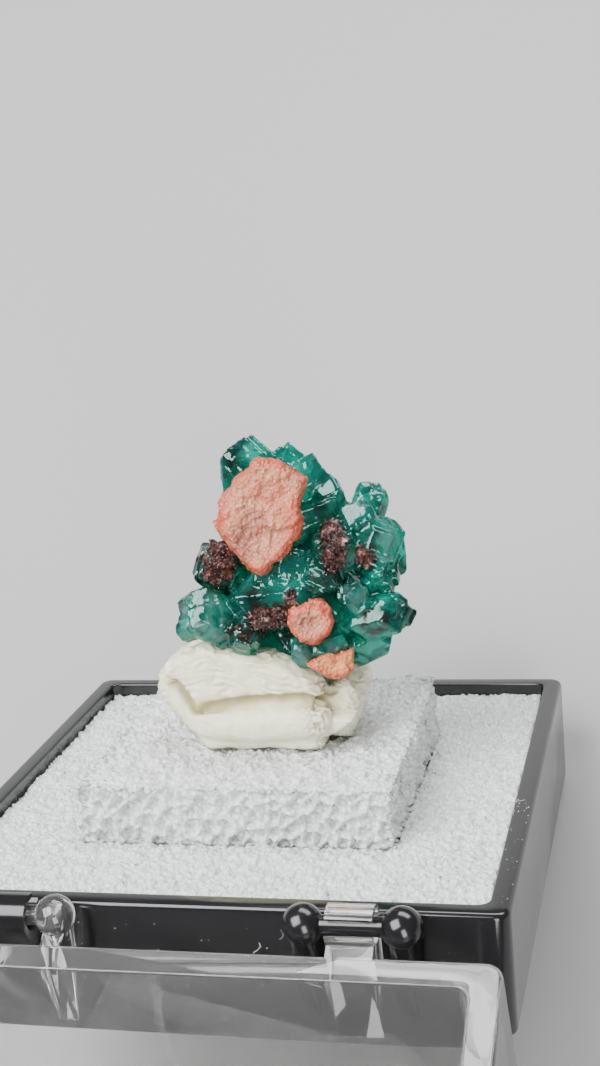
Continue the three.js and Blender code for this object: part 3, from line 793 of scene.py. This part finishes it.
def gusset(x, width, side, profile, bevel):
    """A plate with a profile of (y, z); side is 1 for the lid's, over the pin, and -1 for the
    tray's, under it."""
    bm = bmesh.new()
    bm.faces.new([bm.verts.new((x - width / 2, y, z * side)) for y, z in profile])
    pulled = bmesh.ops.extrude_face_region(bm, geom=bm.faces[:])
    moved = [item for item in pulled["geom"] if isinstance(item, bmesh.types.BMVert)]
    bmesh.ops.translate(bm, verts=moved, vec=(width, 0, 0))
    bmesh.ops.recalc_face_normals(bm, faces=bm.faces[:])
    bmesh.ops.bevel(bm, geom=bm.edges[:], offset=bevel, segments=2, profile=0.5, affect="EDGES")
    return from_bmesh("gusset", bm)


def dumbbell(x, side):
    """The parts of a pin between two balls, each on a gusset."""
    pieces = [bar(x, PIN_RADIUS, BALL_SPACING)]
    for way in (-1, 1):
        ball_x = x + way * BALL_SPACING / 2
        pieces += [ball(ball_x), gusset(ball_x, GUSSET_WIDTH, side, BALL_GUSSET, GUSSET_EDGE)]
    return pieces


def clip(x, side):
    """A snap clip with its bore and its slanting mouth."""
    made = union(bar(x, CLIP_RADIUS, CLIP_WIDTH),
                 [gusset(x, CLIP_WIDTH, side, CLIP_GUSSET, CLIP_EDGE)])
    combined(made, bar(x, CLIP_BORE, CLIP_WIDTH + CUTTER_SPARE), "DIFFERENCE")
    bm = bmesh.new()
    bmesh.ops.create_cube(bm, size=1)
    bm.transform(on_pin(x) @ Matrix.Rotation(-side * math.pi / 4, 4, "X")
                 @ Matrix.Translation((0, MOUTH_PLACE, 0))
                 @ Matrix.Diagonal((CLIP_WIDTH + CUTTER_SPARE, MOUTH_DEPTH, CLIP_MOUTH, 1)))
    return combined(made, from_bmesh("mouth", bm), "DIFFERENCE")


def box_base():
    made = shell("tray_moulding", -TRAY_HEIGHT, 0, TRAY_WALL, TRAY_FLOOR)
    union(made, [*dumbbell(HINGE_PLACE, -1), clip(-HINGE_PLACE, -1)])
    finish_piece(made, BOX, black_plastic(), "base", ["box_base"], MOULDING_SHARP)


def box_lid():
    """Made closed, over the tray, then swung open about the pins."""
    made = shell("lid_moulding", -GAP - LID_HEIGHT, -GAP, LID_WALL, LID_WALL)
    made.data.transform(Matrix.Diagonal((1, 1, -1, 1)))
    made.data.flip_normals()
    union(made, [clip(HINGE_PLACE, 1), *dumbbell(-HINGE_PLACE, 1)])
    finish_piece(made, LID, clear_plastic(), "lid", ["box_lid"], MOULDING_SHARP)


# Foam

def foam_slab(name, low, high, pitch, levels, soft, top_cells, side_cells, wander):
    """A closed slab between two corners, softened at its edges, with bubbles sunk into it.

    pitch is its top's grid, levels the rings down its sides, soft its smoothing steps, wander how
    deep it wavers. top_cells and side_cells list the bubbles' size, depth and seed."""
    across, back = (round((high[k] - low[k]) / pitch) for k in range(2))
    xs = np.linspace(low[0], high[0], across + 1)
    ys = np.linspace(low[1], high[1], back + 1)
    wide = across + 1
    top = np.array([(x, y, high[2]) for y in ys for x in xs])
    faces = [(r * wide + c, r * wide + c + 1, (r + 1) * wide + c + 1, (r + 1) * wide + c)
             for r in range(back) for c in range(across)]
    border = [*range(across), *(r * wide + across for r in range(back)),
              *(back * wide + c for c in range(across, 0, -1)),
              *(r * wide for r in range(back, 0, -1))]
    verts, above, total = [top], border, len(top)
    for level in range(1, levels + 1):
        ring = top[border].copy()
        ring[:, 2] = high[2] + (low[2] - high[2]) * level / levels
        verts.append(ring)
        below = list(range(total, total + len(border)))
        faces += [(above[k - 1], below[k - 1], below[k], above[k]) for k in range(len(border))]
        above = below
        total += len(border)
    faces.append(tuple(reversed(above)))
    made = new_object(name, np.concatenate(verts), faces)
    rounding = made.modifiers.new("soft", "SMOOTH")
    rounding.iterations = soft
    apply_modifiers(made)
    co, out = coordinates(made), normals(made)
    upward = np.clip(out[:, 2] * TOP_GAIN - TOP_LOSS, 0, 1)
    sink = -wander * fractal(co, WANDER_SIZE)
    for sort, share in ((top_cells, upward), (side_cells, 1 - upward)):
        for size, depth, seed in sort:
            bubble = openness(co, size, seed, BUBBLE_WALL)
            sink += share * depth * bubble * bubble * (3 - 2 * bubble)
    sink[co[:, 2] < low[2] + FOAM_FOOT] = 0
    set_coordinates(made, co - out * sink[:, None])
    return made


def foam_pad():
    made = foam_slab("pad_of_foam", *PAD_CORNERS, **PAD_SURFACE)
    finish_piece(made, BOX, white_foam("pad_foam", 3800.0), "base", ["foam_pad"])


def foam_block():
    made = foam_slab("block_of_foam", *BLOCK_CORNERS, **BLOCK_SURFACE)
    co = coordinates(made)
    across, back = (np.clip((co[:, k] - RAISED_FROM[k]) / RAISED_OVER[k], 0, 1) for k in range(2))
    co[:, 2] += RAISED_BY * (back * across * np.clip(co[:, 2] / BLOCK_TOP, 0, 1))
    set_coordinates(made, co)
    finish_piece(made, BOX, white_foam("block_foam", 3200.0), "base", ["foam_block"])


# Putty

def inset(points, amount):
    """Moves a closed outline, drawn anticlockwise, inwards by an even amount."""
    moved = []
    for k, (x, z) in enumerate(points):
        before, after = Vector(points[k - 1]), Vector(points[(k + 1) % len(points)])
        along = (after - before).normalized()
        moved.append((x - along.y * amount, z + along.x * amount))
    return moved


def pillow(name, outline, front, back, rounding, steps=4):
    """A slab between two y, with an outline of (x, z) seen from the front. Its two faces are
    rounded off and narrow by half the rounding."""
    area = sum(outline[k - 1][0] * outline[k][1] - outline[k][0] * outline[k - 1][1]
               for k in range(len(outline)))
    points = list(outline) if area > 0 else list(reversed(outline))
    rings = []
    for end, way in ((back, -1), (front, 1)):
        turns = range(steps + 1) if way < 0 else range(steps, -1, -1)
        for step in turns:
            angle = math.pi / 2 * step / steps
            y = end + way * rounding * (1 - math.cos(angle))
            narrowed = inset(points, rounding * 0.5 * (1 - math.sin(angle)))
            rings.append([(x, y, z) for x, z in narrowed])
    return lofted(name, rings)


def sausage(line, radius, spacing):
    """A chain of overlapping balls along a line."""
    bm = bmesh.new()
    for start, end in zip(line[:-1], line[1:]):
        start, end = Vector(start), Vector(end)
        count = math.ceil((end - start).length / spacing)
        for k in range(count):
            place = Matrix.Translation(start.lerp(end, k / count))
            bmesh.ops.create_icosphere(bm, subdivisions=3, radius=radius, matrix=place)
    return from_bmesh("roll", bm)


def mounting_putty():
    """A folded sheet with a crease, wrinkled along its length, and a roll with a torn end."""
    sheets = [pillow("sheet", *form) for form in PUTTY_SHEETS]
    made = merged([*sheets, sausage(PUTTY_ROLL, ROLL_RADIUS, ROLL_SPACING)])
    remesh(made, PUTTY_VOXEL, 5)
    co, out = coordinates(made), normals(made)
    flat = co[:, [0, 2]]
    x, y, z = co.T
    front = np.clip(-y - CREASE_FRONT, 0, 1)
    crease = np.exp(-(to_line(flat, PUTTY_CREASE) / CREASE_WIDTH) ** 2) * front
    roll = (z < np.interp(x, *zip(*PUTTY_CREASE))) & (y < ROLL_FRONT)

    # The wrinkles run slantwise along the sheet, level along the roll and round the right end
    warp = fractal(co * WARP_STRETCH, WARP_SIZE)
    across = z + WRINKLE_FALL * np.maximum(x - FALL_FROM, 0) + WRINKLE_SLANT * y
    turn = np.clip((x - WRINKLE_PIVOT[0]) / PIVOT_OVER, 0, 1)
    across = across * (1 - turn) + np.hypot(x - WRINKLE_PIVOT[0], z - WRINKLE_PIVOT[1]) * turn
    phase = np.where(roll, z * math.pi / ROLL_WRINKLE_PITCH, across * math.pi / WRINKLE_PITCH)
    lines = 1 - 2 * np.abs(np.sin(phase + warp * WRINKLE_BEND)) ** WRINKLE_POWER
    strength = np.clip(WRINKLE_LEVEL + fractal(co + PATCH_SHIFT, WRINKLE_PATCH, 2), 0, 1)
    depth = np.where(roll, ROLL_WRINKLE_DEPTH, WRINKLE_DEPTH) * lines * strength
    depth += LUMP_DEPTH * fractal(co, LUMP_SIZE) - CREASE_DEPTH * crease

    torn = np.clip(1 - np.abs(x - TEAR_PLACE) / TEAR_REACH, 0, 1) * roll
    open_cells = hashed(np.floor(co / TEAR_CELL), WHOLE_SEED) > TEAR_WHOLE
    depth -= TEAR_DEPTH * torn * openness(co, TEAR_CELL, TEAR_SEED, TEAR_WALL) * open_cells
    # Painted shade: the deeper the surface is sunk, the darker its colour
    add_mask(made, "groove_shade", np.clip(-depth / GROOVE_SHADE_DEPTH - GROOVE_SHADE_FROM, 0, GROOVE_SHADE_MOST))
    co = co + out * depth[:, None]
    co[:, 2] = np.maximum(co[:, 2], BLOCK_TOP - PUTTY_SINK)
    set_coordinates(made, co)
    made.name = "putty"
    finish_piece(made, BOX, cream_putty(), "base", ["mounting_putty"])


# Dioptase

def crystal_hull(centre, half_width, length, direction, turn):
    """A hexagonal prism ended by three rhombohedron faces on each end."""
    corner = half_width / math.cos(math.pi / 6)
    half = length / 2
    fall = corner * RHOMB_SLOPE
    points = [Vector((0, 0, half)), Vector((0, 0, -half))]
    for edge in range(6):
        angle = edge * math.pi / 3
        low = edge % 2 == 0
        x, y = corner * math.cos(angle), corner * math.sin(angle)
        points.append(Vector((x, y, half - (fall if low else fall / 2))))
        points.append(Vector((x, y, -half + (fall / 2 if low else fall))))
    aim = Vector((0, 0, 1)).rotation_difference(Vector(direction).normalized())
    spin = Quaternion((0, 0, 1), math.radians(turn))
    place = Matrix.Translation(centre) @ (aim @ spin).to_matrix().to_4x4()
    bm = bmesh.new()
    for point in points:
        bm.verts.new(place @ point)
    bmesh.ops.convex_hull(bm, input=bm.verts[:])
    bmesh.ops.dissolve_limit(bm, angle_limit=0.01, verts=bm.verts[:], edges=bm.edges[:])
    return from_bmesh("crystal", bm)


def stepped_rows():
    """The crystals with smaller ones grown in parallel on their faces, as terraces."""
    rows = []
    for index, (centre, half_width, length, direction, turn) in enumerate(CRYSTALS):
        rows.append((centre, half_width, length, direction, turn))
        axis = Vector(direction).normalized()
        aside = axis.orthogonal().normalized()
        crown = index < CROWN_ROWS
        for _ in range(MOST_TERRACES if index < STEPPED_ROWS else FEWEST_TERRACES):
            share = rng.uniform(*TERRACE_SHARE) + (CROWN_EXTRA_SHARE if crown else 0)
            out = half_width * (1 - share) + rng.uniform(*TERRACE_RISE)
            round_way = rng.uniform(0, 2 * math.pi)
            along = rng.uniform(*(CROWN_SHIFT if crown else TERRACE_SHIFT))
            shift = Quaternion(axis, round_way) @ aside * out + axis * along
            rows.append((Vector(centre) + shift, half_width * share,
                         length * rng.uniform(*TERRACE_LENGTH), direction,
                         turn + rng.uniform(-TERRACE_TWIST, TERRACE_TWIST)))
    return rows


def covered(co, places, seed):
    """How much of each point on the front lies in soft-edged, broken patches."""
    cover = np.zeros(len(co))
    for middle, spread in places:
        reach = np.hypot((co[:, 0] - middle[0]) / spread[0], (co[:, 2] - middle[1]) / spread[1])
        cover = np.maximum(cover, np.clip((STAIN_AND_GLINT_REACH - reach) * STAIN_AND_GLINT_FADE, 0, 1))
    patches = fractal(co * STAIN_AND_GLINT_STRETCH + seed, STAIN_AND_GLINT_SIZE)
    broken = np.clip(STAIN_AND_GLINT_LEVEL + STAIN_AND_GLINT_CONTRAST * patches, 0, 1)
    return cover * broken * (co[:, 1] < STAIN_AND_GLINT_BACK)


def dioptase_cluster():
    made = merged([crystal_hull(*row) for row in stepped_rows()])
    remesh(made, CRYSTAL_VOXEL, 1, 0.3)
    add_facets(made, 0.8, 41, tilt=0.28, lift=0.05, patchy=2.2)
    add_facets(made, 0.34, 42, tilt=0.14, lift=0.006, patchy=1.4)
    co = coordinates(made)
    add_mask(made, "film", covered(co, FILMS, FILM_SEED))
    # This mask covers etched faces and painted highlights
    add_mask(made, "etched_and_highlight", covered(co, ETCHED_AND_HIGHLIGHTS, ETCHED_AND_HIGHLIGHT_SEED))
    made.name = "dioptase"
    return made


def front_of(tree, x, z):
    """Where a line going straight back at (x, z) first meets the surface."""
    point, _, _, _ = tree.ray_cast(Vector((x, RAY_START, z)), Vector((0, 1, 0)))
    return point


def crust(tree):
    """The granular crust: patches of lumps pressed onto the crystals' front, and loose grains."""
    lumps, grains = bmesh.new(), bmesh.new()
    for middle, spread, size, count in CRUSTS:
        for index in range(count * SPOTS_PER_LUMP):
            angle, reach = rng.uniform(0, 2 * math.pi), math.sqrt(rng.uniform(0, 1))
            if index < count:
                reach *= LUMP_SPREAD
            x = middle[0] + spread[0] * reach * math.cos(angle)
            z = middle[1] + spread[1] * reach * math.sin(angle)
            point = front_of(tree, x, z)
            if point is None:
                continue
            spin = Quaternion(rng.normal(size=4)).normalized().to_matrix().to_4x4()
            if index < count:
                radius = size * rng.uniform(*LUMP_RADII)
                place = (Matrix.Translation((x, point.y + radius * LUMP_SINK, z))
                         @ Matrix.Diagonal((1, LUMP_FLATNESS, 1, 1)))
                bmesh.ops.create_icosphere(lumps, subdivisions=2, radius=radius, matrix=place)
            else:
                stretch = Matrix.Diagonal((*rng.uniform(*GRAIN_STRETCH, 3), 1))
                y = point.y - rng.uniform(0, GRAIN_PROUD)
                bmesh.ops.create_icosphere(
                    grains, subdivisions=1, radius=rng.uniform(*GRAIN_RADII),
                    matrix=Matrix.Translation((x, y, z)) @ spin @ stretch)
    made = from_bmesh("brown_crust", lumps)
    remesh(made, CRUST_VOXEL, 1)
    add_facets(made, 0.3, 51, tilt=1.3, lift=0.16)
    add_facets(made, 0.13, 52, tilt=1.1, lift=0.06)
    return made, from_bmesh("crust_grains", grains)


def dioptase():
    """The crystals with their crust."""
    cluster = dioptase_cluster()
    patches, grains = crust(surface_of(cluster))
    green, brown = emerald_crystal(), brown_crust()
    for piece, material, sharp_angle in ((cluster, green, CRYSTAL_SHARP), (patches, brown, 0),
                                         (grains, brown, 0)):
        finish_piece(piece, SPECIMEN, material, "base", ["dioptase_cluster"],
                     sharp_angle)


def calcite(name, form, material, node, cell, tilt):
    """A rounded crystal with large and small facets; cell is the size of the large ones."""
    made = pillow(name, *form)
    remesh(made, CALCITE_VOXEL, 2)
    roughen(made, CALCITE_ROUGH_SIZE, CALCITE_ROUGH_DEPTH)
    add_facets(made, cell, CALCITE_SEED, tilt, 0.05)
    add_facets(made, cell * 0.3, CALCITE_SEED + 1, tilt * 1.2, 0.02)
    outline = [*form[0], form[0][0]]
    reach = to_line(coordinates(made)[:, [0, 2]], outline)
    add_mask(made, "rim", np.clip(1 - reach / CALCITE_RIM, 0, 1))
    made.name = name
    finish_piece(made, SPECIMEN, material, "base", [node])


# Lint and dust

def fibre(bm, points, radius):
    """A fine tube along points."""
    rings = []
    for k, point in enumerate(points):
        along = (points[min(k + 1, len(points) - 1)] - points[max(k - 1, 0)]).normalized()
        aside = along.orthogonal().normalized() * radius
        turns = [Quaternion(along, side * 2 * math.pi / FIBRE_SIDES) for side in range(FIBRE_SIDES)]
        rings.append([bm.verts.new(point + turn @ aside) for turn in turns])
    for low, high in zip(rings[:-1], rings[1:]):
        for k in range(FIBRE_SIDES):
            bm.faces.new((low[k - 1], low[k], high[k], high[k - 1]))
    bm.faces.new(rings[0])
    bm.faces.new(reversed(rings[-1]))


def lint(name, places, matrix, material, body):
    """Curled fibres and dust specks inside thin boxes on a moulding's faces. places gives each
    box's two corners and its number of fibres."""
    bm = bmesh.new()
    for low, high, count in places:
        low, high = np.array(low), np.array(high)
        spread = np.minimum(high - low, 1)
        for _ in range(count):
            place = rng.uniform(low, high)
            heading = rng.normal(size=3) * spread
            points = [Vector(place)]
            for _ in range(FIBRE_STEPS):
                curl = rng.normal(size=3) * spread * FIBRE_CURL
                heading = heading / np.linalg.norm(heading) + curl
                place = np.clip(place + heading * rng.uniform(*FIBRE_STEP), low, high)
                points.append(Vector(place))
            fibre(bm, points, rng.uniform(*FIBRE_RADII))
        for _ in range(count * SPECKS_PER_FIBRE):
            bmesh.ops.create_icosphere(bm, subdivisions=1, radius=rng.uniform(*SPECK_RADII),
                                       matrix=Matrix.Translation(rng.uniform(low, high)))
    finish_piece(from_bmesh(name, bm), matrix, material, body, [], 0)


# Stage, light and camera

def softbox(name, place, width, height, power):
    light = bpy.data.lights.new(name, "AREA")
    light.shape = "RECTANGLE"
    light.size, light.size_y = width, height
    light.energy = power
    lamp = linked(name, light)
    lamp.location = place
    aim = Vector(LIGHT_TARGET) - Vector(place)
    lamp.rotation_euler = aim.to_track_quat("-Z", "Y").to_euler()


def studio():
    corners = ((-1, -1), (1, -1), (1, 1), (-1, 1))
    floor = new_object("floor", [(x * FLOOR_HALF, y * FLOOR_HALF, 0) for x, y in corners],
                       [(0, 1, 2, 3)])
    floor.data.materials.append(
        new_material("pale_floor", Base_Color=FLOOR_COLOUR, Roughness=0.6)[0])
    for row in SOFTBOXES:
        softbox(*row)
    world = bpy.data.worlds.new("pale_room")
    world.use_nodes = True
    background = world.node_tree.nodes["Background"]
    background.inputs["Color"].default_value = ROOM_COLOUR
    background.inputs["Strength"].default_value = ROOM_STRENGTH
    bpy.context.scene.world = world


def camera():
    data = bpy.data.cameras.new("view")
    data.sensor_width = CAMERA_SENSOR
    data.lens = CAMERA_LENS
    data.clip_start, data.clip_end = CAMERA_CLIP
    forward = Vector(CAMERA_FORWARD).normalized()
    right = forward.cross(Vector(CAMERA_UP)).normalized()
    turned = Matrix((right, right.cross(forward), -forward)).transposed().to_4x4()
    made = linked("view", data)
    made.matrix_world = Matrix.Translation(BOX @ Vector(CAMERA_PLACE)) @ LEANED @ turned
    bpy.context.scene.camera = made


box_base()
box_lid()
foam_pad()
foam_block()
mounting_putty()
dioptase()
pink = frosted_calcite("pink_calcite", *PINK_CALCITE)
orange = frosted_calcite("orange_calcite", *ORANGE_CALCITE)
calcite("large_calcite", CALCITE_LARGE, pink, "calcite_large", 1.8, 0.22)
calcite("small_calcite", CALCITE_SMALL, pink, "calcite_small", 0.8, 0.3)
calcite("lower_calcite", CALCITE_LOWER, orange, "calcite_lower", 0.6, 0.35)
pale = pale_lint()
lint("tray_lint", TRAY_LINT, BOX, pale, "base")
lint("lid_lint", LID_LINT, LID, pale, "lid")
studio()
camera()
